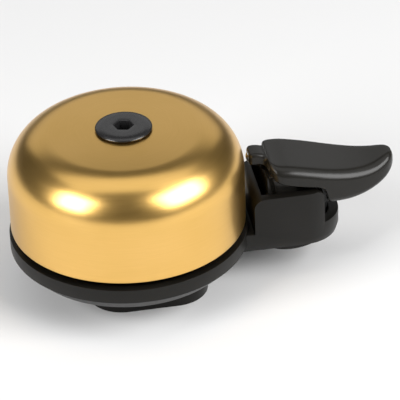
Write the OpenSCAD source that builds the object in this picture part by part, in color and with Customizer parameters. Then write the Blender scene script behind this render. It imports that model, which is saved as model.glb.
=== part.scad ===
// Bicycle bell with a thumb lever.
// A brass dome stands on a moulded base. The base carries the hinge of a thumb lever whose
// neck holds a small steel striker beside the dome, and it seats on a handlebar below.
// Origin: on the dome's axis, where the crown of the saddle pad rests on the handlebar.
// +X points along the lever and the handlebar, +Z up along the dome's axis. Millimetres.

/* [Handlebar seat] */
// Radius of the handlebar that the rubber pad seats on
bar_r = 11.1; // [11.1:0.1:11.4]
// Thickness of the rubber pad
pad_t = 1.0; // [0.8:0.1:1.2]
// Length of the rubber pad along the handlebar
pad_len = 16.4; // [12:0.2:18]
// Half of the shallow saddle's width in the foot's underside
saddle_half_w = 6.5; // [6:0.1:6.6]
// Length of the foot along the handlebar
foot_len = 21.6; // [21:0.1:22]
// Width of the foot across the handlebar
foot_w = 22.5; // [22.2:0.1:23]
// Corner radius of the foot, seen from above
foot_corner_r = 6.3; // [5.8:0.1:6.4]
// Height of the foot
foot_h = 6.1; // [6:0.05:6.3]
// How far the foot sits from the dome's axis, towards the lever
foot_shift = 2.3; // [2.1:0.1:2.5]

/* [Base] */
// Radius of the round plate under the dome
plate_r = 21.3; // [21.2:0.1:21.8]
// Height of the plate's upright side
plate_side_h = 2.6; // [2.4:0.1:2.8]
// Height and width of the slant below the plate's side
plate_slant = 2.5; // [2.2:0.1:2.6]
// Thickness of the moulded walls
wall_t = 1.6; // [1.5:0.05:1.7]
// Air gap between the plate and the dome's rim
dome_gap = 1.2; // [0.9:0.1:1.4]

/* [Dome] */
// Outer radius of the dome
dome_r = 21.0; // [20.8:0.1:21.1]
// Height of the dome's upright wall
dome_wall_h = 10.1; // [9.9:0.1:10.2]
// Radius of the round shoulder between wall and crown
shoulder_r = 8.35; // [8.2:0.05:8.5]
// Radius of the nearly flat crown
crown_r = 250; // [200:10:300]
// Thickness of the dome's metal
dome_t = 1.2; // [1:0.1:1.4]

/* [Dome screw] */
// Thread radius of the dome screw, M5
screw_r = 2.5; // [2.5:0.5:2.5]
// Radius of the screw's low head
head_r = 5.05; // [4.9:0.05:5.1]
// Height of the screw's head
head_h = 0.65; // [0.6:0.05:0.8]
// Hexagon key size of the screw's socket
key_af = 3; // [3:1:3]

/* [Lever housing] */
// Distance of the lever's hinge pin from the dome's axis
pivot_x = 29.2; // [29.1:0.1:29.3]
// Drop of the hinge pin below the dome's rim
pivot_drop = 1.0; // [0.9:0.1:1.1]
// Half of the housing's width, which is also the radius of its round end
house_r = 7.0; // [6.9:0.1:7.1]
// Thickness of the housing's ears
ear_t = 1.75; // [1.7:0.05:1.75]
// Height of the ears' top edge above the dome's rim
ear_top = 4.9; // [4.7:0.1:4.9]
// Radius of the hinge pin
pin_r = 1.25; // [1.25:0.05:1.25]

/* [Lever] */
// Half of the thumb pad's width
pad_half_w = 6.3; // [6:0.1:6.4]
// Half of the neck's width
neck_half_w = 2.0; // [1.8:0.1:2.1]
// Radial play of the lever's bushes on the hinge pin
bush_play = 0.05; // [0.03:0.01:0.08]
// Gap between the striker's tip and the dome at rest
strike_gap = 0.5; // [0.45:0.05:0.6]

/* [Hidden] */
$fn = 96;
eps = 0.01;

// Levels, from the foot upwards
foot_bottom = sqrt(pow(bar_r + pad_t, 2) - pow(saddle_half_w, 2)) - bar_r;
foot_top = foot_bottom + foot_h;
plate_bottom = foot_top;
plate_edge = plate_bottom + plate_slant;
plate_top = plate_edge + plate_side_h;
floor_top = plate_bottom + 2.0;
rim_z = plate_top + dome_gap;
crown_z = dome_wall_h + crown_r
          - sqrt(pow(crown_r - shoulder_r, 2) - pow(dome_r - shoulder_r, 2));
dome_top = rim_z + crown_z;
pivot_z = rim_z - pivot_drop;

// Plate and tray
slant_r = plate_r - plate_slant;
tray_r = plate_r - wall_t;
post_boss_r = 6.6;
insert_boss_r = 3.0;
insert_h = 3.5;
insert_r = 1.75;
insert_cover = 0.6;
foot_screw_r = 1.1;
foot_screw_gap = 0.5;
foot_key_r = 0.9;
foot_screw_dx = 7.2;
foot_screw_dy = 7.5;
foot_head_r = 2.0;
foot_head_z = foot_top - 3.6;
foot_head_h = 0.8;
foot_screw_play = 0.15;
lug_len = 9;
lug_reach = 1.75;
lug_t = 1.0;
lug_lip_t = 0.6;
lug_lip_h = 1.4;
lug_z = foot_bottom + 3.05;

// Screw stack, from the nut upwards
nut_af = 8.0;
nut_h = 2.7;
nut_play = 0.15;
nut_z = plate_bottom + 0.2;
lock_h = 1.2;
lock_r = 4.5;
lock_play = 0.1;
lock_split = 0.8;
sleeve_r = 4.0;
screw_play = 0.15;
seat_top = dome_top - dome_t - 0.08;
seat_h = 1.2;
seat_r = 5.6;
seat_ring_r = 5.3;
post_washer_h = 0.8;
bush_r = 3.4;
bush_flange_r = 4.7;
bush_flange_h = 0.15;
head_z = dome_top + bush_flange_h;
head_edge_r = 0.55;
socket_depth = 2.0;
socket_turn = -12.7;

// Tongue and housing
house_end_x = 31.05;
house_inner_r = house_r - ear_t;
tongue_top = rim_z - 2.2;
tongue_edge = rim_z - 4.5;
tongue_bottom = rim_z - 5.8;
tongue_x0 = 12;
tongue_slant = 0.4;
ear_x0 = 21.7;
ear_wrap = 60;
ear_left_r = 1.9;
ear_right_r = 1.5;
ear_fall = 0.4;
ear_x1 = house_end_x + house_r * cos(ear_wrap);
end_wall_top = rim_z - 1.9;
pocket_x0 = 23.3;
pocket_floor = rim_z - 4.2;
trough_r = 5.3;
trough_half_w = 4.0;
belly_r = 10;
belly_drop = 7.8;
belly_half_w = 4.5;
belly_shift = 0.4;
pin_blind = 1.15;
plug_r = 2.0;
plug_h = 0.9;

// Lever, with its outline measured from the hinge pin
hub_r = 4.7;
hub_half_w = 5.0;
cheek_r = 2.9;
core_half_w = 3.75;
heel_half_w = 3.5;
heel_x0 = 4.4;
heel_x1 = 8.8;
press_angle = 16;
hub_split = 0.5;
bush_out_r = 2.0;
spring_room = 2.15;
spring_well_r = 3.1;
striker_r = 0.9;
striker_len = 2.6;
striker_z = rim_z + 10.0;
striker_x = dome_r + strike_gap;
neck_x = striker_x + 0.35;

// Return spring
wire_r = 0.3;
coil_r = 2.15;
coil_turns = 4.25;
coil_pitch = 0.68;
coil_half_w = coil_turns * coil_pitch / 2;
coil_step = 18;
leg_in_x = -6.6;
leg_out_z = 6.0;
wire_play = 0.05;

// Stop bumper
bumper_r = 1.0;
bumper_x = 35.2;
bumper_top = pivot_z - 0.03;
bumper_sink = 0.9;

// A point on the cubic curve with the control points c
function curve_point(c, t) =
    pow(1 - t, 3) * c[0] + 3 * pow(1 - t, 2) * t * c[1]
    + 3 * (1 - t) * t * t * c[2] + pow(t, 3) * c[3];

// The cubic curve with the control points c, as n + 1 points
function curve(c, n) = [for (i = [0:n]) curve_point(c, i / n)];

// Extrudes a side view, drawn with x across and z up, to both sides of the XZ plane
module side_view(half_w) {
    translate([0, half_w, 0])
        rotate([90, 0, 0])
            linear_extrude(2 * half_w)
                children();
}

// A rectangle with rounded corners, about the origin
module rounded_rect(w, d, r) {
    square([w - 2 * r, d], center = true);
    square([w, d - 2 * r], center = true);
    for (sx = [-1, 1], sy = [-1, 1])
        translate([sx * (w / 2 - r), sy * (d / 2 - r)])
            circle(r);
}

// The housing's outline from above: straight sides and a round outer end
module tongue_plan(r, x0) {
    translate([x0, -r])
        square([house_end_x - x0, 2 * r]);
    translate([house_end_x, 0])
        circle(r);
}

module foot_screw_places() {
    for (sx = [-1, 1], sy = [-1, 1])
        translate([foot_shift + sx * foot_screw_dx, sy * foot_screw_dy, 0])
            children();
}

module hinge_axis(y0, len, r) {
    translate([pivot_x, y0, pivot_z])
        rotate([-90, 0, 0])
            cylinder(r = r, h = len);
}

// ---- Base ----

// The round plate with its slanted underside
module plate_body() {
    rotate_extrude()
        polygon([[0, plate_bottom], [slant_r, plate_bottom], [plate_r, plate_edge],
                 [plate_r, plate_top], [0, plate_top]]);
}

// The tongue that joins the plate to the lever housing
module tongue_body() {
    slant_h = tongue_edge - tongue_bottom;
    low_r = house_r - tongue_slant;
    translate([0, 0, tongue_edge])
        linear_extrude(tongue_top - tongue_edge)
            tongue_plan(house_r, tongue_x0);
    translate([tongue_x0, 0, tongue_bottom])
        rotate([90, 0, 90])
            linear_extrude(house_end_x - tongue_x0)
                polygon([[-low_r, 0], [low_r, 0], [house_r, slant_h], [-house_r, slant_h]]);
    translate([house_end_x, 0, tongue_bottom])
        cylinder(r1 = low_r, r2 = house_r, h = slant_h);
}

// The ears, their rounded top corners and their wrap round the outer end
module ear_walls() {
    intersection() {
        translate([0, 0, tongue_bottom + 1])
            linear_extrude(20)
                tongue_plan(house_r, ear_x0);
        side_view(house_r + 1)
            union() {
                translate([ear_x0, tongue_edge])
                    square([ear_x1 - ear_x0,
                            rim_z + ear_top - ear_right_r - tongue_edge - ear_fall]);
                translate([ear_x0 + ear_left_r, tongue_edge])
                    square([ear_x1 - ear_x0 - ear_left_r - ear_right_r,
                            rim_z + ear_top - tongue_edge]);
                translate([ear_x0 + ear_left_r, rim_z + ear_top - ear_left_r])
                    circle(ear_left_r);
                translate([ear_x1 - ear_right_r, rim_z + ear_top - ear_right_r])
                    circle(ear_right_r);
            }
    }
}

// The low wall round the outer end, under the lever's notch
module end_wall() {
    translate([0, 0, tongue_edge])
        linear_extrude(end_wall_top - tongue_edge)
            tongue_plan(house_r, house_end_x - 2);
}

// The shallow round belly under the housing
module belly() {
    intersection() {
        translate([pivot_x - belly_shift, belly_half_w, rim_z - belly_drop + belly_r])
            rotate([90, 0, 0])
                cylinder(r = belly_r, h = 2 * belly_half_w);
        translate([pivot_x - 10, -belly_half_w, rim_z - belly_drop - 1])
            cube([20, 2 * belly_half_w, tongue_bottom + 2 + belly_drop - rim_z]);
    }
}

// The pocket between the ears, with a round trough under the lever's hub
module lever_pocket() {
    translate([0, 0, pocket_floor])
        linear_extrude(20)
            tongue_plan(house_inner_r, pocket_x0);
    intersection() {
        hinge_axis(-trough_half_w, 2 * trough_half_w, trough_r);
        translate([pivot_x - 10, -10, pocket_floor - 10])
            cube([20, 20, 10 + eps]);
    }
}

module base_plate() {
    color([0.17, 0.17, 0.16])
        difference() {
            union() {
                difference() {
                    union() {
                        plate_body();
                        tongue_body();
                    }
                    translate([0, 0, floor_top])
                        cylinder(r = tray_r, h = 20);
                }
                ear_walls();
                end_wall();
                belly();
                translate([0, 0, plate_bottom])
                    cylinder(r = post_boss_r, h = rim_z - plate_bottom);
                foot_screw_places()
                    translate([0, 0, plate_bottom])
                        cylinder(r = insert_boss_r, h = insert_h + insert_cover);
            }
            lever_pocket();
            // Screw way, lock washer's seat and the nut's hexagon pocket
            translate([0, 0, plate_bottom - 1])
                cylinder(r = screw_r + screw_play, h = 20);
            translate([0, 0, plate_bottom - 1])
                cylinder(r = lock_r + lock_play, h = nut_z + nut_h + lock_h - plate_bottom + 1);
            foot_screw_places()
                translate([0, 0, plate_bottom - 1])
                    cylinder(r = insert_r, h = insert_h + 1);
            // Hinge pin: blind in one ear, through the other, with the plug's seat
            hinge_axis(-house_inner_r - pin_blind, pin_blind + 1, pin_r);
            hinge_axis(house_inner_r - 1, ear_t + 2, pin_r);
            hinge_axis(house_r - plug_h, plug_h + 1, plug_r);
            // Socket of the stop bumper
            translate([bumper_x, 0, pocket_floor - bumper_sink])
                cylinder(r = bumper_r, h = 2);
            // Slot that holds the spring's lower leg
            translate([pivot_x + leg_in_x - wire_play, -coil_half_w - wire_r - wire_play,
                       pivot_z - coil_r - wire_r - wire_play])
                cube([3, 2 * (wire_r + wire_play), 5]);
        }
}

// ---- Handlebar seat ----

// A cylinder about the handlebar's axis
module bar_cut(r) {
    translate([foot_shift - foot_len, 0, -bar_r])
        rotate([0, 90, 0])
            cylinder(r = r, h = 2 * foot_len);
}

// One lug with a lip, over which a rubber ring is stretched
module strap_lug() {
    translate([foot_shift - lug_len / 2, foot_w / 2 - lug_t / 2, lug_z])
        cube([lug_len, lug_reach + lug_t / 2, lug_t]);
    translate([foot_shift - lug_len / 2, foot_w / 2 + lug_reach - lug_lip_t, lug_z])
        cube([lug_len, lug_lip_t, lug_lip_h]);
}

module saddle_foot() {
    color([0.15, 0.15, 0.14])
        difference() {
            union() {
                translate([foot_shift, 0, foot_bottom])
                    linear_extrude(foot_h)
                        rounded_rect(foot_len, foot_w, foot_corner_r);
                strap_lug();
                mirror([0, 1, 0])
                    strap_lug();
            }
            bar_cut(bar_r + pad_t);
            foot_screw_places() {
                translate([0, 0, foot_bottom - 1])
                    cylinder(r = foot_screw_r + foot_screw_play, h = foot_h + 2);
                translate([0, 0, foot_bottom - 1])
                    cylinder(r = foot_head_r + foot_screw_play,
                             h = foot_head_z + foot_head_h - foot_bottom + 1);
            }
        }
}

// The rubber pad in the saddle, round in its underside to seat on the handlebar
module saddle_pad() {
    color([0.08, 0.08, 0.08])
        intersection() {
            difference() {
                bar_cut(bar_r + pad_t);
                bar_cut(bar_r);
            }
            translate([foot_shift - pad_len / 2, -foot_w / 2, foot_bottom])
                cube([pad_len, foot_w, foot_h]);
        }
}

module foot_inserts() {
    color([0.75, 0.6, 0.3])
        foot_screw_places()
            translate([0, 0, plate_bottom])
                difference() {
                    cylinder(r = insert_r, h = insert_h);
                    translate([0, 0, -1])
                        cylinder(r = foot_screw_r, h = insert_h + 2);
                }
}

module foot_screws() {
    color([0.6, 0.6, 0.62])
        foot_screw_places()
            difference() {
                union() {
                    translate([0, 0, foot_head_z])
                        cylinder(r = foot_head_r, h = foot_head_h);
                    translate([0, 0, foot_head_z])
                        cylinder(r = foot_screw_r,
                                 h = plate_bottom + insert_h - foot_screw_gap - foot_head_z);
                }
                translate([0, 0, foot_head_z - eps])
                    cylinder(r = foot_key_r, h = 0.5, $fn = 6);
            }
}

// ---- Screw stack ----

module captive_nut() {
    color([0.7, 0.7, 0.72])
        translate([0, 0, nut_z])
            difference() {
                cylinder(r = nut_af / sqrt(3) - nut_play, h = nut_h, $fn = 6);
                translate([0, 0, -1])
                    cylinder(r = screw_r, h = nut_h + 2);
            }
}

module lock_washer() {
    color([0.6, 0.6, 0.62])
        translate([0, 0, nut_z + nut_h])
            difference() {
                cylinder(r = lock_r, h = lock_h);
                translate([0, 0, -1])
                    cylinder(r = screw_r + screw_play, h = lock_h + 2);
                // The split of the washer
                translate([0, -lock_split / 2, -1])
                    cube([lock_r + 1, lock_split, lock_h + 2]);
            }
}

module ring(r_out, r_in, z, h) {
    translate([0, 0, z])
        difference() {
            cylinder(r = r_out, h = h);
            translate([0, 0, -1])
                cylinder(r = r_in, h = h + 2);
        }
}

module post_sleeve() {
    color([0.72, 0.72, 0.74])
        ring(sleeve_r, screw_r + screw_play, rim_z,
             seat_top - seat_h - post_washer_h - rim_z);
}

module post_washer() {
    color([0.65, 0.65, 0.67])
        ring(seat_r, screw_r + screw_play, seat_top - seat_h - post_washer_h, post_washer_h);
}

module dome_seat_ring() {
    color([0.1, 0.1, 0.1])
        ring(seat_ring_r, screw_r + screw_play, seat_top - seat_h, seat_h);
}

// Sleeve that keeps the screw off the dome, with a thin flange under the screw's head
module dome_bush() {
    color([0.06, 0.06, 0.06])
        difference() {
            union() {
                translate([0, 0, seat_top])
                    cylinder(r = bush_r, h = head_z - seat_top);
                translate([0, 0, dome_top])
                    cylinder(r = bush_flange_r, h = bush_flange_h);
            }
            translate([0, 0, seat_top - 1])
                cylinder(r = screw_r + screw_play, h = 4);
        }
}

// Half of the dome's section: wall, shoulder and crown, set in by the distance t
module dome_half(t) {
    knuckle_x = dome_r - shoulder_r;
    shoulder_top = asin(knuckle_x / (crown_r - shoulder_r));
    square([dome_r - t, dome_wall_h]);
    translate([knuckle_x, dome_wall_h])
        circle(shoulder_r - t);
    intersection() {
        translate([0, crown_z - crown_r])
            circle(crown_r - t, $fn = 720);
        polygon([[0, 0], [knuckle_x, dome_wall_h],
                 [knuckle_x + (shoulder_r - t) * sin(shoulder_top),
                  dome_wall_h + (shoulder_r - t) * cos(shoulder_top)],
                 [knuckle_x, 2 * crown_z], [0, 2 * crown_z]]);
    }
}

module dome() {
    color([0.83, 0.66, 0.36])
        difference() {
            translate([0, 0, rim_z])
                rotate_extrude()
                    difference() {
                        intersection() {
                            dome_half(0);
                            square(60);
                        }
                        translate([0, -eps])
                            dome_half(dome_t);
                    }
            translate([0, 0, seat_top - 1])
                cylinder(r = bush_r, h = 6);
        }
}

// Low cap head with a rounded edge and a hexagon socket
module dome_screw() {
    color([0.12, 0.12, 0.12])
        difference() {
            union() {
                translate([0, 0, head_z])
                    rotate_extrude() {
                        square([head_r - head_edge_r, head_h]);
                        square([head_r, head_h - head_edge_r]);
                        intersection() {
                            translate([head_r - head_edge_r, head_h - head_edge_r])
                                circle(head_edge_r);
                            square(2 * head_r);
                        }
                    }
                translate([0, 0, nut_z])
                    cylinder(r = screw_r, h = head_z - nut_z + eps);
            }
            translate([0, 0, head_z + head_h - socket_depth])
                rotate([0, 0, socket_turn])
                    cylinder(r = key_af / sqrt(3), h = socket_depth + 1, $fn = 6);
        }
}

// ---- Lever and hinge ----

module pivot_pin() {
    color([0.75, 0.75, 0.77])
        hinge_axis(-house_inner_r - pin_blind, house_r - plug_h + house_inner_r + pin_blind, pin_r);
}

module pin_plug() {
    color([0.15, 0.15, 0.14])
        hinge_axis(house_r - plug_h, plug_h, plug_r);
}

module stop_bumper() {
    color([0.08, 0.08, 0.08])
        translate([bumper_x, 0, pocket_floor - bumper_sink])
            cylinder(r = bumper_r, h = bumper_top - pocket_floor + bumper_sink);
}

// Side view of the thumb pad: top sweep, tip, keel and the step down behind the ears
function pad_outline() = concat(
    curve([[-7.2, 12.4], [0.8, 11.1], [9.8, 6.2], [17.6, 9.4]], 18),
    curve([[18.1, 9.4], [18.8, 9.0], [19.0, 8.0], [18.9, 7.0]], 5),
    curve([[18.8, 6.7], [17.5, 4.0], [13.0, 2.3], [8.0, 2.4]], 12),
    curve([[6.2, 2.4], [6.3, 5.2], [5.6, 6.9], [3.8, 7.1]], 8),
    [[-4.0, 8.85], [-7.2, 10.0]]);

// Half of the thumb pad's plan, from the shoulder to the tip
function pad_plan_half() = concat(
    curve([[-4.6, 3.4], [-4.6, 5.4], [-4.0, pad_half_w], [-2.2, pad_half_w]], 6),
    curve([[3.8, pad_half_w], [10.8, pad_half_w], [18.3, 3.6], [18.95, 0]], 14));

module pad_plan() {
    half = pad_plan_half();
    polygon(concat([[-4.6, 0]], half));
    mirror([0, 1])
        polygon(concat([[-4.6, 0]], half));
    // The neck, which leaves the pad in two round corners
    neck_end = neck_x - pivot_x;
    translate([neck_end + neck_half_w, 0])
        circle(neck_half_w);
    translate([neck_end + neck_half_w, -neck_half_w])
        square([-4 - neck_end - neck_half_w, 2 * neck_half_w]);
}

module thumb_lever() {
    color([0.2, 0.2, 0.19])
        difference() {
            translate([pivot_x, 0, pivot_z])
                union() {
                    // Thumb pad and neck
                    intersection() {
                        side_view(10)
                            polygon(pad_outline());
                        translate([0, 0, -5])
                            linear_extrude(30)
                                pad_plan();
                    }
                    // Cheeks and core of the hub, and the heel, which is flat on the bumper
                    // when the lever is pressed all the way
                    side_view(hub_half_w) {
                        circle(cheek_r);
                        translate([-hub_r, 0])
                            square([hub_r + hub_split, 9]);
                    }
                    side_view(core_half_w)
                        circle(hub_r);
                    side_view(heel_half_w)
                        polygon([[-1, 0], [heel_x0, heel_x0 * tan(press_angle)],
                                 [heel_x1, heel_x1 * tan(press_angle)], [heel_x1, 7], [-1, 9]]);
                }
            hinge_axis(-10, 20, bush_out_r);
            // Well for the return spring, open below and towards the dome
            hinge_axis(-spring_room, 2 * spring_room, spring_well_r);
            translate([pivot_x - hub_r - 1, -spring_room, pivot_z - hub_r - 1])
                cube([hub_r + 2, 2 * spring_room, hub_r]);
            // Slot that holds the spring's upper leg
            translate([pivot_x + coil_r - wire_r - wire_play, coil_half_w - wire_r - wire_play,
                       pivot_z])
                cube([2 * (wire_r + wire_play), 2 * (wire_r + wire_play),
                      leg_out_z + wire_play]);
            // Striker's socket in the neck
            translate([striker_x - 1, 0, striker_z])
                rotate([0, 90, 0])
                    cylinder(r = striker_r, h = striker_len + 1);
        }
}

module lever_bushes() {
    bush_len = hub_half_w - spring_room - 0.05;
    color([0.78, 0.62, 0.32])
        for (y0 = [-hub_half_w, hub_half_w - bush_len])
            difference() {
                hinge_axis(y0, bush_len, bush_out_r);
                hinge_axis(y0 - 1, bush_len + 2, pin_r + bush_play);
            }
}

// Steel pin with a rounded tip
module striker_pin() {
    color([0.75, 0.75, 0.77])
        translate([striker_x, 0, striker_z])
            rotate([0, 90, 0])
                rotate_extrude()
                    intersection() {
                        union() {
                            translate([0, striker_r + 0.6])
                                circle(striker_r + 0.6);
                            translate([0, 1])
                                square([striker_r, striker_len - 1]);
                        }
                        square([striker_r, striker_len]);
                    }
}

// Route of the return spring: a leg in the base's slot, the coil and a leg up into the lever
function spring_route() = concat(
    [[leg_in_x, -coil_half_w, -coil_r], [-1.0, -coil_half_w, -coil_r]],
    [for (turned = [0:coil_step:coil_turns * 360])
        [coil_r * sin(180 - turned), turned / 360 * coil_pitch - coil_half_w,
         coil_r * cos(180 - turned)]],
    [[coil_r, coil_half_w, 1.0], [coil_r, coil_half_w, leg_out_z]]);

// A round wire along a route of points
module wire(route, r, sides = 8) {
    n = len(route);
    function unit(v) = v / norm(v);
    function heading(i) = unit(route[min(i + 1, n - 1)] - route[max(i - 1, 0)]);
    function across(i) = unit(cross(heading(i), [0, 1, 0]));
    points = [for (i = [0:n - 1], k = [0:sides - 1])
        let (side = across(i), up = cross(side, heading(i)), a = k * 360 / sides)
        route[i] + r * cos(a) * side + r * sin(a) * up];
    faces = concat(
        [[for (k = [0:sides - 1]) k]],
        [for (i = [0:n - 2], k = [0:sides - 1])
            let (j = (k + 1) % sides, a = i * sides)
            [a + k, a + sides + k, a + sides + j, a + j]],
        [[for (k = [sides - 1:-1:0]) (n - 1) * sides + k]]);
    polyhedron(points, faces);
}

module return_spring() {
    color([0.7, 0.7, 0.72])
        translate([pivot_x, 0, pivot_z])
            wire(spring_route(), wire_r);
}

base_plate();
saddle_foot();
saddle_pad();
foot_inserts();
foot_screws();
captive_nut();
lock_washer();
post_sleeve();
post_washer();
dome_seat_ring();
dome_bush();
dome();
dome_screw();
pivot_pin();
pin_plug();
return_spring();
stop_bumper();
thumb_lever();
lever_bushes();
striker_pin();
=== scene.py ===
import math

import bmesh
import bpy
import numpy as np
from mathutils import Matrix, Vector


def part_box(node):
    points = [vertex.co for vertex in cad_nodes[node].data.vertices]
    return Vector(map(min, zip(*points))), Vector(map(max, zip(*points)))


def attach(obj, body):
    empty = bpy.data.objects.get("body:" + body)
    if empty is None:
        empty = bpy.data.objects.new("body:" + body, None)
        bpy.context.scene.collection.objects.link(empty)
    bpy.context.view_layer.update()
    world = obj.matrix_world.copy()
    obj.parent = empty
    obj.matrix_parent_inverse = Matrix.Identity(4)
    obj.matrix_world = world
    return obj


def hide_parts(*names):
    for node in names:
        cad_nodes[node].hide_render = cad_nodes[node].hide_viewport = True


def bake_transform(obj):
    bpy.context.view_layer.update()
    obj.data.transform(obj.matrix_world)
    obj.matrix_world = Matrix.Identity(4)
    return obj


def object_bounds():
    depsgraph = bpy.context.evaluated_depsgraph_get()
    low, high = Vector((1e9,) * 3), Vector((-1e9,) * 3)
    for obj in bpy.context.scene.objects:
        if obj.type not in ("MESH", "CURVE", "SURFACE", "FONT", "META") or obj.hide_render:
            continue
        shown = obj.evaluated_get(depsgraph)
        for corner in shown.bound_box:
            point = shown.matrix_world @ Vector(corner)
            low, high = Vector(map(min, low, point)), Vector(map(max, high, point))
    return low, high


# Bicycle bell: a satin brass dome on a black moulded base, rung by a sprung thumb lever.
# Metres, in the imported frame: +X along the lever, +Z up the dome's axis, which is x = y = 0.

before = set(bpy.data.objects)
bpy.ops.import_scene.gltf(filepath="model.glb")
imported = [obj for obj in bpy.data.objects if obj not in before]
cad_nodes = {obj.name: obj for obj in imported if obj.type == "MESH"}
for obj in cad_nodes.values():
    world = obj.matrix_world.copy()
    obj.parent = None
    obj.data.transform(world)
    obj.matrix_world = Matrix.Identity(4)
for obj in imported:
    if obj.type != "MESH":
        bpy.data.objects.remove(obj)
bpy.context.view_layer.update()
MM = 0.001

# ---- Base --------------------------------------------------------------------------------
# One black glass-filled nylon moulding: the round plate with its tray, the tongue and the two
# ears that hold the hinge pin. Every edge that the mould leaves is a small soft round.

BASE_EDGE = 0.35 * MM
SHARP_EDGE = math.radians(28)
EDGE_FACETS = 3
SAME_POINT = 0.002 * MM
SAME_PLANE = math.radians(0.4)
PLASTIC_CLOUD = 160.0
PLASTIC_SHINE = 0.26


def add_object(name, data):
    """Puts an object with this mesh, lamp or camera into the scene."""
    made = bpy.data.objects.new(name, data)
    bpy.context.scene.collection.objects.link(made)
    return made


def merged_copy(name, node):
    """A copy of a CAD node whose triangles are joined, and flat faces made whole."""
    piece = add_object(name, cad_nodes[node].data.copy())
    work = bmesh.new()
    work.from_mesh(piece.data)
    bmesh.ops.remove_doubles(work, verts=work.verts, dist=SAME_POINT)
    bmesh.ops.dissolve_limit(work, angle_limit=SAME_PLANE, verts=work.verts,
                             edges=work.edges, delimit={"NORMAL"})
    work.to_mesh(piece.data)
    work.free()
    piece.data.materials.clear()
    return piece


def moulded(name, node, edge):
    """A merged copy of a CAD node with its sharp edges rounded off by the width edge."""
    piece = merged_copy(name, node)
    bevel = piece.modifiers.new("soft_edges", "BEVEL")
    bevel.width = edge
    bevel.segments = EDGE_FACETS
    bevel.limit_method = "ANGLE"
    bevel.angle_limit = SHARP_EDGE
    bevel.miter_outer = "MITER_ARC"
    piece.data.shade_smooth()
    return piece


def node_material(name):
    """A new material with its shader, a function that adds a node and sets its inputs, and one
    that links two sockets."""
    material = bpy.data.materials.new(name)
    material.use_nodes = True
    tree = material.node_tree

    def add(kind, inputs=None, **settings):
        node = tree.nodes.new(kind)
        for key, value in settings.items():
            setattr(node, key, value)
        for key, value in (inputs or {}).items():
            if isinstance(value, bpy.types.NodeSocket):
                tree.links.new(value, node.inputs[key])
            else:
                node.inputs[key].default_value = value
        return node

    def link(source, target):
        tree.links.new(source, target)

    return material, tree.nodes["Principled BSDF"], add, link


def speckle(add, place, scale, detail):
    """Noise about one half: scale patches to the metre, with detail octaves of finer ones."""
    noise = add("ShaderNodeTexNoise", {"Vector": place, "Scale": scale, "Detail": detail})
    return noise.outputs[0]


def spread(add, value, to_low, to_high, low=0.3, high=0.7):
    """Stretches the values between low and high over another range, and holds them inside it."""
    ranged = add("ShaderNodeMapRange", {0: value, 1: low, 2: high, 3: to_low, 4: to_high})
    return ranged.outputs[0]


def relief(add, height, strength, depth):
    """The normal of a surface that this height lifts by up to depth, softened by strength."""
    bump = add("ShaderNodeBump", {"Height": height, "Strength": strength, "Distance": depth})
    return bump.outputs[0]


def blend_colours(add, factor, dark, light):
    """A colour between dark and light, by a factor from 0 to 1."""
    ramp = add("ShaderNodeValToRGB", {0: factor})
    ramp.color_ramp.elements[0].color = (*dark, 1)
    ramp.color_ramp.elements[1].color = (*light, 1)
    return ramp.outputs["Color"]


def moulded_black(name, dark, light, rough_low, rough_high, grain_size, grain_strength):
    """Moulded black plastic: fine spark-eroded grain, a slow cloud in its gloss and colour."""
    material, shader, add, link = node_material(name)
    place = add("ShaderNodeTexCoord").outputs["Object"]
    grain = speckle(add, place, grain_size, 2.0)
    cloud = speckle(add, place, PLASTIC_CLOUD, 3.0)
    link(blend_colours(add, cloud, dark, light), shader.inputs["Base Color"])
    link(spread(add, cloud, rough_low, rough_high), shader.inputs["Roughness"])
    link(relief(add, grain, grain_strength, 0.03 * MM), shader.inputs["Normal"])
    shader.inputs["Specular IOR Level"].default_value = PLASTIC_SHINE
    return material


base_black = moulded_black("base_black", (0.0050, 0.0045, 0.0035), (0.0085, 0.0077, 0.0061),
                           0.36, 0.44, 2600.0, 0.22)
base = moulded("base_moulding", "base_plate", BASE_EDGE)
base.data.materials.append(base_black)
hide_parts("base_plate")
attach(base, "base")

# ---- Foot --------------------------------------------------------------------------------
# A second moulding of the same black nylon, screwed up against the plate. Its underside is a
# shallow saddle for the handlebar, and the lug on each side holds a rubber ring.

FOOT_EDGE = 0.25 * MM
foot = moulded("foot_block", "saddle_foot", FOOT_EDGE)
foot.data.materials.append(base_black)
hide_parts("saddle_foot")
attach(foot, "base")

# ---- Saddle pad ----------------------------------------------------------------------------
# A strip of black rubber bonded into the foot's saddle, so the bell grips a round handlebar.
# Small grooves run along it, and its lower edges are cut level with the foot.

pad_low, pad_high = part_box("saddle_pad")
BAR_R = 11.1 * MM
PAD_T = 1.0 * MM
GROOVES = 7
GROOVE_DEPTH = 0.30 * MM
GROOVE_FLANK = 1.4
BACK_POINTS = 61
GRIP_POINTS = 183
PAD_ROWS = 9
PAD_CREASE = math.radians(35)
RUBBER_SHINE = 0.3


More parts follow.
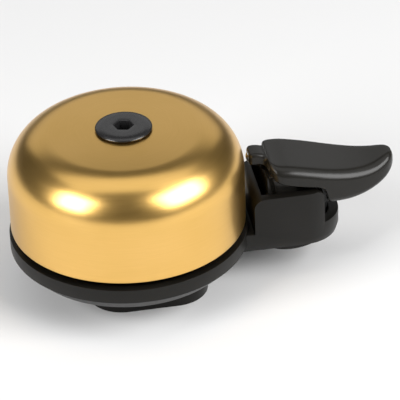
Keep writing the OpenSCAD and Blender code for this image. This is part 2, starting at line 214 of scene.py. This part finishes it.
def skin(name, rings, ends="fan"):
    """A mesh through rings of points, rings[i, k] being point k of ring i. Every ring closes on
    itself. The ends are closed with a fan of triangles about the end ring's middle, with one
    flat face, or by being joined, the last ring to the first."""
    rings = np.asarray(rings, float)
    count, around = rings.shape[:2]
    rows = count if ends == "joined" else count - 1
    i, k = np.meshgrid(np.arange(rows), np.arange(around), indexing="ij")
    j, n = (i + 1) % count, (k + 1) % around
    quads = np.stack([i * around + k, i * around + n, j * around + n, j * around + k], -1)
    points = rings.reshape(-1, 3)
    faces = quads.reshape(-1, 4).tolist()
    top = (count - 1) * around
    if ends == "flat":
        faces += [list(range(around))[::-1], list(range(top, top + around))]
    elif ends == "fan":
        k = np.arange(around)
        n = (k + 1) % around
        first = np.stack([n, k, np.full(around, len(points))], 1)
        last = np.stack([top + k, top + n, np.full(around, len(points) + 1)], 1)
        points = np.concatenate([points, [rings[0].mean(0), rings[-1].mean(0)]])
        faces += first.tolist() + last.tolist()
    mesh = bpy.data.meshes.new(name)
    mesh.from_pydata(points, [], faces)
    mesh.shade_smooth()
    return add_object(name, mesh)


def pad_rings():
    """Cross-sections of a bent strip. The outer face is an arc about the bar's axis. The inner
    one is the bar's own arc, which a row of rounded grooves lifts off it. The ends are level."""
    back_r = BAR_R + PAD_T
    low = pad_low.z + BAR_R
    back_turn = np.linspace(-1, 1, BACK_POINTS) * math.acos(low / back_r)
    grip_share = np.linspace(1, -1, GRIP_POINTS)
    grip_turn = grip_share * math.acos(low / BAR_R)
    wave = np.cos(grip_share * math.pi * GROOVES)
    grip_r = BAR_R + GROOVE_DEPTH * np.clip(0.5 - GROOVE_FLANK * wave, 0, 1)
    y = np.concatenate([back_r * np.sin(back_turn), grip_r * np.sin(grip_turn)])
    z = np.concatenate([back_r * np.cos(back_turn), grip_r * np.cos(grip_turn)]) - BAR_R
    x = np.linspace(pad_high.x, pad_low.x, PAD_ROWS)
    return np.stack([np.repeat(x[:, None], len(y), 1), np.tile(y, (PAD_ROWS, 1)),
                     np.tile(np.maximum(z, pad_low.z), (PAD_ROWS, 1))], -1)


def rubber():
    """Black rubber: a dry, nearly matt skin with a fine pebble and a dusty cloud."""
    material, shader, add, link = node_material("rubber")
    place = add("ShaderNodeTexCoord").outputs["Object"]
    pebble = speckle(add, place, 3500.0, 2.0)
    dust = speckle(add, place, 400.0, 4.0)
    link(blend_colours(add, dust, (0.012, 0.012, 0.012), (0.024, 0.024, 0.023)),
         shader.inputs["Base Color"])
    link(spread(add, dust, 0.72, 0.86), shader.inputs["Roughness"])
    link(relief(add, pebble, 0.3, 0.03 * MM), shader.inputs["Normal"])
    shader.inputs["Specular IOR Level"].default_value = RUBBER_SHINE
    return material


black_rubber = rubber()
saddle = skin("saddle_strip", pad_rings(), ends="flat")
saddle.data.set_sharp_from_angle(angle=PAD_CREASE)
saddle.data.materials.append(black_rubber)
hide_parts("saddle_pad")
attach(saddle, "base")

# ---- Foot screws and their inserts --------------------------------------------------------
# Four small zinc-plated screws hold the foot to the plate. Each turns into a brass insert that
# is pressed into the plate.

RING_LINES = 6000.0


def turned_metal(name, dark, light, rough_low, rough_high, lines=RING_LINES, axis="Z"):
    """A turned metal: fine rings about an axis, in its colour, gloss and relief, under a cloud.
    A ring's place is the distance from the axis, and the height along it."""
    material, shader, add, link = node_material(name)
    place = add("ShaderNodeTexCoord").outputs["Object"]
    split = add("ShaderNodeSeparateXYZ", {0: place})
    first, second = ("X", "Y") if axis == "Z" else ("X", "Z")
    flat = add("ShaderNodeCombineXYZ", {"X": split.outputs[first], "Y": split.outputs[second]})
    reach = add("ShaderNodeVectorMath", {0: flat.outputs[0]}, operation="LENGTH")
    turned = add("ShaderNodeCombineXYZ", {"X": reach.outputs["Value"], "Y": split.outputs[axis]})
    rings = speckle(add, turned.outputs[0], lines, 4.0)
    cloud = speckle(add, place, 500.0, 3.0)
    both = add("ShaderNodeMath", {0: rings, 1: cloud}, operation="ADD")
    share = spread(add, both.outputs[0], 0.0, 1.0, 0.7, 1.3)
    link(blend_colours(add, share, dark, light), shader.inputs["Base Color"])
    link(spread(add, cloud, rough_low, rough_high), shader.inputs["Roughness"])
    link(relief(add, rings, 0.08, 0.03 * MM), shader.inputs["Normal"])
    shader.inputs["Metallic"].default_value = 1.0
    return material


def finish_nodes(material, *names):
    """Gives CAD nodes their material."""
    for name in names:
        cad_nodes[name].data.materials.clear()
        cad_nodes[name].data.materials.append(material)


insert_brass = turned_metal("insert_brass", (0.62, 0.42, 0.15), (0.74, 0.52, 0.21), 0.26, 0.38)
zinc_plate = turned_metal("zinc_plate", (0.50, 0.51, 0.53), (0.66, 0.67, 0.68), 0.30, 0.44)
finish_nodes(insert_brass, "foot_inserts")
finish_nodes(zinc_plate, "foot_screws")

# ---- Post ---------------------------------------------------------------------------------
# The dome's screw runs down through a flat washer and a turned aluminium sleeve into a hexagon
# nut that the plate's underside holds, with a split spring washer on it. A nylon ring and a
# flanged nylon bush hold the brass off the post, so that it rings.

FINE_LINES = 9000.0
finish_nodes(zinc_plate, "captive_nut", "post_washer")
finish_nodes(turned_metal("washer_steel", (0.20, 0.20, 0.21), (0.30, 0.30, 0.31), 0.34, 0.46),
             "lock_washer")
finish_nodes(turned_metal("turned_aluminium", (0.72, 0.73, 0.74), (0.84, 0.85, 0.86),
                          0.24, 0.36, FINE_LINES), "post_sleeve")
black_nylon = moulded_black("black_nylon", (0.014, 0.014, 0.014), (0.024, 0.024, 0.023),
                            0.40, 0.50, 3000.0, 0.1)
finish_nodes(black_nylon, "dome_seat_ring", "dome_bush")

# ---- Dome --------------------------------------------------------------------------------
# The dome is one spun and turned brass shell with a nearly flat crown and a round shoulder.
# It is brushed as it turns and lacquered to a soft satin. It hangs on the post by its crown.

dome_low, dome_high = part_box("dome")
RIM = dome_low.z
DOME_R = dome_high.x
DOME_T = 1.2 * MM
RIM_LIP = 0.3 * MM
SHOULDER_R = 8.35 * MM
WALL_H = 10.1 * MM
CROWN_R = 250 * MM
DOME_HOLE_R = 3.4 * MM
HOLE_LIP = 0.2 * MM
SPIN_STEPS = 288
WALL_POINTS, SHOULDER_POINTS, CROWN_POINTS = 14, 60, 26
HOLE_POINTS, RIM_POINTS = 5, 15
BRUSH_DRIFT = 0.0006


def arc(cx, cz, radius, start, end, count):
    """Points of a circle about (cx, cz), from the angle start to end in degrees, at even steps."""
    turn = np.radians(np.linspace(start, end, count))
    return np.stack([cx + radius * np.cos(turn), cz + radius * np.sin(turn)], 1)


def dome_side(inset):
    """The dome's outline set in by a distance: upright wall, quarter-round shoulder, flat crown arc.
    The crown's circle meets the shoulder's where the line through both centres cuts them."""
    knuckle = DOME_R - SHOULDER_R
    meet = math.degrees(math.acos(knuckle / (CROWN_R - SHOULDER_R)))
    crown_z = RIM + WALL_H - math.sqrt((CROWN_R - SHOULDER_R) ** 2 - knuckle ** 2)
    crown_turn = math.degrees(math.acos(DOME_HOLE_R / (CROWN_R - inset)))
    wall_z = np.linspace(RIM + RIM_LIP, RIM + WALL_H, WALL_POINTS)[:-1]
    wall = np.stack([np.full(len(wall_z), DOME_R - inset), wall_z], 1)
    shoulder = arc(knuckle, RIM + WALL_H, SHOULDER_R - inset, 0, meet, SHOULDER_POINTS)
    crown = arc(0, crown_z, CROWN_R - inset, meet, crown_turn, CROWN_POINTS)[1:]
    return np.concatenate([wall, shoulder, crown])


def spun(name, side):
    """A closed outline turned about the dome's axis: each (radius, height) becomes a ring."""
    turn = np.linspace(0, 2 * math.pi, SPIN_STEPS, endpoint=False)
    rings = np.stack([side[:, :1] * np.cos(turn), side[:, :1] * np.sin(turn),
                      np.repeat(side[:, 1:], SPIN_STEPS, 1)], -1)
    return skin(name, rings, ends="joined")


def satin_brass():
    """Turned brass: fine rings of brushing round the axis, and a faint cloud in the lacquer. A
    ring's place is the distance from the axis and the height, and drifts a little as it turns."""
    material, shader, add, link = node_material("satin_brass")
    place = add("ShaderNodeTexCoord").outputs["Object"]
    split = add("ShaderNodeSeparateXYZ", {0: place})
    angle = add("ShaderNodeMath", {0: split.outputs["X"], 1: split.outputs["Y"]},
                operation="ARCTAN2")
    flat = add("ShaderNodeCombineXYZ", {"X": split.outputs["X"], "Y": split.outputs["Y"]})
    reach = add("ShaderNodeVectorMath", {0: flat.outputs[0]}, operation="LENGTH")
    drift = add("ShaderNodeMath", {0: angle.outputs[0], 1: BRUSH_DRIFT}, operation="MULTIPLY")
    turned = add("ShaderNodeCombineXYZ", {"X": reach.outputs["Value"],
                                          "Y": split.outputs["Z"], "Z": drift.outputs[0]})
    brushing = add("ShaderNodeTexNoise", {"Vector": turned.outputs[0], "Scale": 5200.0,
                                          "Detail": 5.0, "Roughness": 0.65}).outputs[0]
    cloud = speckle(add, place, 90.0, 3.0)
    both = add("ShaderNodeMath", {0: brushing, 1: cloud}, operation="ADD")
    share = spread(add, both.outputs[0], 0.0, 1.0, 0.7, 1.3)
    link(blend_colours(add, share, (0.80, 0.492, 0.142), (0.85, 0.530, 0.168)),
         shader.inputs["Base Color"])
    link(spread(add, brushing, 0.275, 0.300), shader.inputs["Roughness"])
    link(relief(add, brushing, 0.012, 0.05 * MM), shader.inputs["Normal"])
    shader.inputs["Metallic"].default_value = 1.0
    return material


outer = dome_side(0)
inner = dome_side(DOME_T)[::-1]
hole_lip = arc(DOME_HOLE_R + HOLE_LIP, outer[-1, 1] - HOLE_LIP, HOLE_LIP, 90, 180, HOLE_POINTS)
rim_lip = arc(DOME_R - DOME_T / 2, RIM + RIM_LIP, DOME_T / 2, 180, 360, RIM_POINTS)[1:-1]
# The rim's round is half as deep as it is wide
rim_lip[:, 1] = (rim_lip[:, 1] + RIM + RIM_LIP) / 2
dome = spun("dome_shell", np.concatenate([outer[:-1], hole_lip, inner[1:], rim_lip]))
dome.data.materials.append(satin_brass())
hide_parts("dome")
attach(dome, "base")

# ---- Dome screw --------------------------------------------------------------------------
# A black steel M5 screw with a thin, wide head. Its edge is turned round, and its hexagon
# socket takes a 3 mm key. A thin nylon flange keeps it off the brass.

screw_low, screw_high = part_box("dome_screw")
HEAD_TOP = screw_high.z
HEAD_R = screw_high.x
HEAD_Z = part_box("dome_bush")[1].z
HEAD_EDGE = 1.5 * MM
HEAD_LAND = 0.15 * MM
SHANK_R = 2.5 * MM
SHANK_TIP = 0.4 * MM
SHANK_ROUND = 0.1 * MM
KEY = 3.0 * MM
SOCKET_TURN = math.radians(-12.7)
SCREW_POINTS, EDGE_POINTS = 240, 12
SCREW_CREASE = math.radians(40)
STEEL_SHINE = 0.6


def screw_rings():
    """Rings from the shank's end to the socket's floor. Outside they are circles. In the socket
    a ring is a hexagon, whose reach is half the key over the cosine of the turn off a flat."""
    turn = SOCKET_TURN + np.linspace(0, 2 * math.pi, SCREW_POINTS, endpoint=False)
    off_flat = np.mod(turn - SOCKET_TURN, math.pi / 3) - math.pi / 6
    hexagon = KEY / 2 / np.cos(off_flat)
    bend = np.radians(np.linspace(0, 90, EDGE_POINTS))
    land = HEAD_Z + HEAD_LAND
    edge = np.stack([HEAD_R - HEAD_EDGE * (1 - np.cos(bend)),
                     land + (HEAD_TOP - land) * np.sin(bend)], 1)
    # Radius and height of each circle: the shank, the head's underside, its edge and its top
    outside = np.concatenate([
        [[SHANK_R - SHANK_TIP, screw_low.z], [SHANK_R, screw_low.z + SHANK_TIP],
         [SHANK_R, HEAD_Z - SHANK_ROUND], [SHANK_R + SHANK_ROUND, HEAD_Z],
         [HEAD_R - 0.25 * MM, HEAD_Z], [HEAD_R - 0.05 * MM, HEAD_Z + 0.04 * MM]], edge,
        [[3.3 * MM, HEAD_TOP], [2.6 * MM, HEAD_TOP]]])
    circles = [np.stack([r * np.cos(turn), r * np.sin(turn), np.full(SCREW_POINTS, z)], 1)
               for r, z in outside]
    # How far each hexagon is wider than the key, and how deep it is, in millimetres
    mouth = [(0.22, 0.0), (0.08, 0.03), (0.0, 0.12), (0.0, 1.2), (0.0, 2.4), (-0.2, 2.6)]
    socket = [np.stack([(hexagon + grow * MM) * np.cos(turn), (hexagon + grow * MM) * np.sin(turn),
                        np.full(SCREW_POINTS, HEAD_TOP - drop * MM)], 1) for grow, drop in mouth]
    return np.array(circles + socket)


def black_steel():
    """Blackened steel: a satin skin over a fine grain, with a slow cloud in its colour."""
    material, shader, add, link = node_material("black_steel")
    place = add("ShaderNodeTexCoord").outputs["Object"]
    grain = speckle(add, place, 3000.0, 3.0)
    cloud = speckle(add, place, 350.0, 2.0)
    link(blend_colours(add, cloud, (0.010, 0.010, 0.0105), (0.018, 0.0175, 0.018)),
         shader.inputs["Base Color"])
    link(spread(add, grain, 0.20, 0.30), shader.inputs["Roughness"])
    link(relief(add, grain, 0.12, 0.04 * MM), shader.inputs["Normal"])
    shader.inputs["Specular IOR Level"].default_value = STEEL_SHINE
    return material


screw = skin("dome_screw_head", screw_rings())
screw.data.set_sharp_from_angle(angle=SCREW_CREASE)
screw.data.materials.append(black_steel())
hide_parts("dome_screw")
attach(screw, "base")

# ---- Hinge ---------------------------------------------------------------------------------
# A ground steel pin crosses the two ears, and a black nylon plug closes its hole. A rubber
# bumper between the ears stops the lever's heel.

finish_nodes(turned_metal("ground_pin", (0.56, 0.57, 0.59), (0.70, 0.71, 0.72), 0.14, 0.24,
                          7000.0, "Y"), "pivot_pin")
finish_nodes(black_nylon, "pin_plug")
finish_nodes(black_rubber, "stop_bumper")

# ---- Return spring -------------------------------------------------------------------------
# A torsion spring of 0.6 mm music wire, coiled round the hinge pin. One leg lies in the base
# and the other stands up in the lever, so each turn of the coil takes its share of the motion.

HINGE_X, HINGE_Z = 29.2 * MM, RIM - 1.0 * MM
WIRE_R = 0.3 * MM
COIL_R = 2.15 * MM
COIL_TURNS = 4.25
COIL_PITCH = 0.68 * MM
COIL_SIDE = COIL_TURNS * COIL_PITCH / 2
COIL_POINTS = 208
LEG_IN_X = -6.6 * MM
LEG_OUT_Z = 6.0 * MM
LEG_BEND = 0.4 * MM
LEG_POINTS = 12
WIRE_SIDES = 18


def spring_rings():
    """Circles carried along a wire: a straight leg, a helix about the hinge, a straight leg. Each
    circle is square to the wire: one of its axes is the heading crossed with the hinge's axis."""
    turned = np.linspace(0, COIL_TURNS * 2 * math.pi, COIL_POINTS)
    coil = np.stack([COIL_R * np.sin(math.pi - turned),
                     turned / (2 * math.pi) * COIL_PITCH - COIL_SIDE,
                     COIL_R * np.cos(math.pi - turned)], 1)
    level = np.ones(LEG_POINTS)
    leg_in = np.stack([np.linspace(LEG_IN_X, -LEG_BEND, LEG_POINTS), -COIL_SIDE * level,
                       -COIL_R * level], 1)
    leg_out = np.stack([COIL_R * level, COIL_SIDE * level,
                        np.linspace(LEG_BEND, LEG_OUT_Z, LEG_POINTS)], 1)
    route = np.concatenate([leg_in, coil, leg_out])
    heading = np.gradient(route, axis=0)
    heading /= np.linalg.norm(heading, axis=1, keepdims=True)
    across = np.cross(heading, (0, 1, 0))
    across /= np.linalg.norm(across, axis=1, keepdims=True)
    upward = np.cross(across, heading)
    turn = np.linspace(2 * math.pi, 0, WIRE_SIDES, endpoint=False)[None, :, None]
    rings = (route[:, None] + WIRE_R * np.cos(turn) * across[:, None]
             + WIRE_R * np.sin(turn) * upward[:, None])
    return rings + (HINGE_X, 0, HINGE_Z)


spring = skin("spring_wire", spring_rings())
spring.data.materials.append(turned_metal("music_wire", (0.30, 0.30, 0.31), (0.44, 0.44, 0.45),
                                          0.20, 0.30, FINE_LINES, "Y"))
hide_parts("return_spring")
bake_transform(spring)

# ---- Thumb lever --------------------------------------------------------------------------
# One satin nylon moulding. A thin neck carries the striker and widens into the thumb pad, which
# dips, deepens to a keel behind the ears and lifts to a round tip. The hub between the ears
# takes the spring, and turns on two brass bushes.

LEVER_STATIONS = np.array([
    # In millimetres: x, half width, top and underside above the dome's rim, and the round of
    # the top edge and of the lower one
    [21.85, 1.20, 10.55, 9.40, 0.40, 0.30],
    [21.97, 1.62, 10.95, 9.18, 0.60, 0.40],
    [22.25, 1.90, 11.20, 9.05, 0.70, 0.50],
    [22.70, 2.00, 11.30, 9.00, 0.70, 0.50],
    [23.40, 2.00, 11.30, 8.98, 0.70, 0.50],
    [24.00, 2.04, 11.20, 8.92, 0.75, 0.50],
    [24.45, 2.20, 11.05, 8.80, 0.90, 0.50],
    [24.78, 2.60, 10.88, 8.60, 1.10, 0.50],
    [24.98, 3.25, 10.74, 8.42, 1.35, 0.50],
    [25.12, 4.05, 10.62, 8.27, 1.60, 0.50],
    [25.36, 4.85, 10.46, 7.95, 1.80, 0.50],
    [25.80, 5.58, 10.27, 7.55, 1.95, 0.45],
    [26.45, 6.08, 10.11, 7.20, 2.00, 0.45],
    [27.35, 6.31, 9.98, 6.85, 2.00, 0.45],
    [28.60, 6.38, 9.84, 6.50, 2.00, 0.45],
    [30.50, 6.38, 9.45, 6.05, 2.00, 0.45],
    [32.20, 6.36, 9.05, 5.72, 2.00, 0.45],
    [33.40, 6.33, 8.76, 5.48, 2.00, 0.50],
    [34.20, 6.30, 8.56, 5.10, 2.00, 0.60],
    [34.70, 6.27, 8.43, 4.60, 2.00, 0.80],
    [35.00, 6.25, 8.36, 3.60, 2.00, 1.00],
    [35.22, 6.23, 8.31, 2.62, 2.00, 1.30],
    [35.42, 6.20, 8.26, 1.92, 2.00, 1.60],
    [35.78, 6.17, 8.17, 1.54, 2.00, 1.80],
    [36.60, 6.10, 7.98, 1.42, 2.00, 2.00],
    [38.00, 5.92, 7.70, 1.38, 2.00, 2.00],
    [39.50, 5.68, 7.45, 1.42, 2.00, 2.00],
    [41.00, 5.36, 7.30, 1.62, 2.00, 2.00],
    [42.60, 4.95, 7.25, 2.00, 2.00, 2.00],
    [44.20, 4.40, 7.40, 2.56, 2.00, 2.00],
    [45.60, 3.75, 7.75, 3.22, 2.00, 1.90],
    [46.70, 3.00, 8.05, 3.95, 1.80, 1.60],
    [47.42, 2.25, 8.12, 4.66, 1.50, 1.30],
    [47.86, 1.50, 7.90, 5.30, 1.10, 1.00],
    [48.08, 0.80, 7.40, 5.86, 0.65, 0.60],
    [48.13, 0.30, 6.95, 6.30, 0.25, 0.25]])
STATION_STEPS = 7
TOP_ROUND_MOST, LOW_ROUND_MOST = 0.62, 0.30
FLAT_POINTS, CORNER_POINTS, SIDE_POINTS = 7, 13, 5
LEVER_CREASE = math.radians(32)
# Corners of the hub and of the heel, which the pad's loft leaves out: x and y, and z above the
# dome's rim
HUB = (24.0 * MM, -5.1 * MM, -10.0 * MM), (29.9 * MM, 5.1 * MM, 8.3 * MM)
HEEL = (29.7 * MM, -3.6 * MM, -10.0 * MM), (38.3 * MM, 3.6 * MM, 5.6 * MM)


def through(points, steps):
    """A smooth path through points, each with any number of values. Between two points it is the
    cubic whose slopes at them are half the step from the point before to the point after."""
    padded = np.concatenate([points[:1], points, points[-1:]])
    before, start, end, after = (padded[k:len(padded) - 3 + k, None] for k in range(4))
    t = np.linspace(0, 1, steps, endpoint=False)[None, :, None]
    path = 0.5 * (2 * start + (end - before) * t
                  + (2 * before - 5 * start + 4 * end - after) * t ** 2
                  + (3 * start - before - 3 * end + after) * t ** 3)
    return np.concatenate([path.reshape(-1, points.shape[1]), points[-1:]])


def lever_rings():
    """Cross-sections of the pad: a flat top and underside, upright sides, and each corner a
    quarter ellipse. A ring runs from the top's middle round one side and back up the other."""
    x, half, top, under, top_round, low_round = through(LEVER_STATIONS, STATION_STEPS).T * MM
    tall = top - under
    top_drop = np.minimum(top_round, TOP_ROUND_MOST * tall)
    low_rise = np.minimum(low_round, LOW_ROUND_MOST * tall)
    turn = np.radians(np.linspace(90, 0, CORNER_POINTS))
    across = np.linspace(0, 1, FLAT_POINTS)[:-1]
    top_y = (half - top_round)[:, None] * across
    corner_y = (half - top_round)[:, None] + top_round[:, None] * np.cos(turn)
    corner_z = (top - top_drop)[:, None] + top_drop[:, None] * np.sin(turn)
    down = np.linspace(0, 1, SIDE_POINTS)[1:-1]
    side_z = (top - top_drop)[:, None] + (under + low_rise - top + top_drop)[:, None] * down
    low_y = (half - low_round)[:, None] + low_round[:, None] * np.cos(turn[::-1])
    low_z = (under + low_rise)[:, None] - low_rise[:, None] * np.sin(turn[::-1])
    under_y = (half - low_round)[:, None] * (1 - across[1:])
    y = np.concatenate([top_y, corner_y, np.repeat(half[:, None], len(down), 1), low_y,
                        under_y], 1)
    z = np.concatenate([np.repeat(top[:, None], len(across), 1), corner_z, side_z, low_z,
                        np.repeat(under[:, None], len(across) - 1, 1)], 1)
    y = np.concatenate([y, np.zeros((len(y), 1)), -y[:, :0:-1]], 1)
    z = np.concatenate([z, under[:, None], z[:, :0:-1]], 1) + RIM
    return np.stack([np.repeat(x[:, None], y.shape[1], 1), y, z], -1)


def cuboid(low, high):
    """A box between two corners, whose heights are above the dome's rim, to cut with."""
    low, high = Vector(low), Vector(high)
    middle = (low + high) / 2 + Vector((0, 0, RIM))
    mesh = bpy.data.meshes.new("cutter")
    work = bmesh.new()
    bmesh.ops.create_cube(work, size=1,
                          matrix=Matrix.Translation(middle) @ Matrix.Diagonal((*high - low, 1)))
    work.to_mesh(mesh)
    work.free()
    return add_object("cutter", mesh)


def combine(piece, tool, operation):
    """Replaces the piece's mesh with its union or intersection with the tool, and drops the tool."""
    step = piece.modifiers.new("combine", "BOOLEAN")
    step.operation = operation
    step.solver = "EXACT"
    step.object = tool
    bpy.context.view_layer.update()
    seen = piece.evaluated_get(bpy.context.evaluated_depsgraph_get())
    piece.data = bpy.data.meshes.new_from_object(seen)
    piece.modifiers.clear()
    bpy.data.objects.remove(tool)


lever = merged_copy("thumb_lever_moulding", "thumb_lever")
heel = merged_copy("heel", "thumb_lever")
combine(lever, cuboid(*HUB), "INTERSECT")
combine(heel, cuboid(*HEEL), "INTERSECT")
combine(lever, heel, "UNION")
combine(lever, skin("pad", lever_rings()), "UNION")
lever.data.materials.clear()
lever.data.materials.append(moulded_black("lever_black", (0.0110, 0.0103, 0.0088),
                                          (0.0165, 0.0155, 0.0134), 0.22, 0.28, 2600.0, 0.10))
lever.data.shade_smooth()
lever.data.set_sharp_from_angle(angle=LEVER_CREASE)
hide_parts("thumb_lever")
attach(lever, "lever")
finish_nodes(insert_brass, "lever_bushes")

# ---- Striker -------------------------------------------------------------------------------
# A short pin of polished steel, pressed into the lever's neck. Its round tip hits the dome's
# wall when the lever is flicked.

finish_nodes(turned_metal("striker_steel", (0.56, 0.57, 0.59), (0.70, 0.71, 0.72),
                          0.12, 0.20), "striker_pin")

# ---- Camera, floor and light -------------------------------------------------------------
# The bell stands on a plain white table. A long lens looks down on it from the side. Two large
# softboxes light it from the front, and a panel overhead and one behind fill its crown.

LENS = 300
SENSOR = 36
CLIP_START, CLIP_END = 0.05, 20
VIEW_AZIMUTH = math.radians(-7.17)
VIEW_ELEVATION = math.radians(32.94)
VIEW_DISTANCE = 594.99 * MM
PAN, TILT, ROLL = math.radians(-1.246), math.radians(0.25), math.radians(3.009)
target = Vector((0, 0, RIM))


def outwards(azimuth, elevation):
    """The direction from the bell to a place at this azimuth, counted from -Y, and elevation."""
    return Vector((math.sin(azimuth) * math.cos(elevation),
                   -math.cos(azimuth) * math.cos(elevation), math.sin(elevation)))


back = outwards(VIEW_AZIMUTH, VIEW_ELEVATION)
ahead = -back
right = ahead.cross(Vector((0, 0, 1))).normalized()
up = right.cross(ahead)
pan = Matrix.Rotation(PAN, 3, up)
ahead, right = pan @ ahead, pan @ right
tilt = Matrix.Rotation(TILT, 3, right)
ahead, up = tilt @ ahead, tilt @ up
roll = Matrix.Rotation(ROLL, 3, ahead)
right, up = roll @ right, roll @ up
camera = add_object("camera", bpy.data.cameras.new("camera"))
camera.data.lens = LENS
camera.data.sensor_width = SENSOR
camera.data.clip_start = CLIP_START
camera.data.clip_end = CLIP_END
view = Matrix((right, up, -ahead)).transposed().to_4x4()
view.translation = target + back * VIEW_DISTANCE
camera.matrix_world = view
bpy.context.scene.camera = camera

TABLE_HALF = 3.0
TABLE_WHITE = 0.74
TABLE_ROUGHNESS = 0.9
table_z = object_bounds()[0].z
table_mesh = bpy.data.meshes.new("table")
table_mesh.from_pydata([(x * TABLE_HALF, y * TABLE_HALF, table_z)
                        for x, y in ((-1, -1), (1, -1), (1, 1), (-1, 1))], [], [(0, 1, 2, 3)])
table = add_object("table", table_mesh)
white_table, paint = node_material("white_table")[:2]
paint.inputs["Base Color"].default_value = (TABLE_WHITE, TABLE_WHITE, TABLE_WHITE, 1)
paint.inputs["Roughness"].default_value = TABLE_ROUGHNESS
table_mesh.materials.append(white_table)

LAMP_DISTANCE = 0.7
ROOM_LIGHT = 0.07


def softbox(name, azimuth, elevation, width, height, radiance):
    """A flat panel light that faces the bell. Azimuth is measured from the camera's own."""
    out = outwards(VIEW_AZIMUTH + math.radians(azimuth), math.radians(elevation))
    lamp = bpy.data.lights.new(name, "AREA")
    lamp.shape = "RECTANGLE"
    lamp.size = width
    lamp.size_y = height
    lamp.energy = radiance * width * height * math.pi
    facing = (-out).to_track_quat("-Z", "Y").to_matrix().to_4x4()
    facing.translation = target + out * LAMP_DISTANCE
    panel = add_object(name, lamp)
    panel.matrix_world = facing
    panel.visible_camera = False


softbox("left_softbox", -56, 30, 0.33, 0.37, 11.0)
softbox("right_softbox", 60, 35, 0.48, 0.40, 9.8)
softbox("top_softbox", 180, 88, 1.05, 0.50, 1.00)
softbox("back_panel", 180, 28, 0.90, 0.34, 0.60)

world = bpy.data.worlds.new("room")
bpy.context.scene.world = world
world.use_nodes = True
room = world.node_tree.nodes["Background"]
room.inputs["Color"].default_value = (ROOM_LIGHT, ROOM_LIGHT, ROOM_LIGHT, 1)
room.inputs["Strength"].default_value = 1.0
bpy.context.scene.view_settings.view_transform = "Standard"
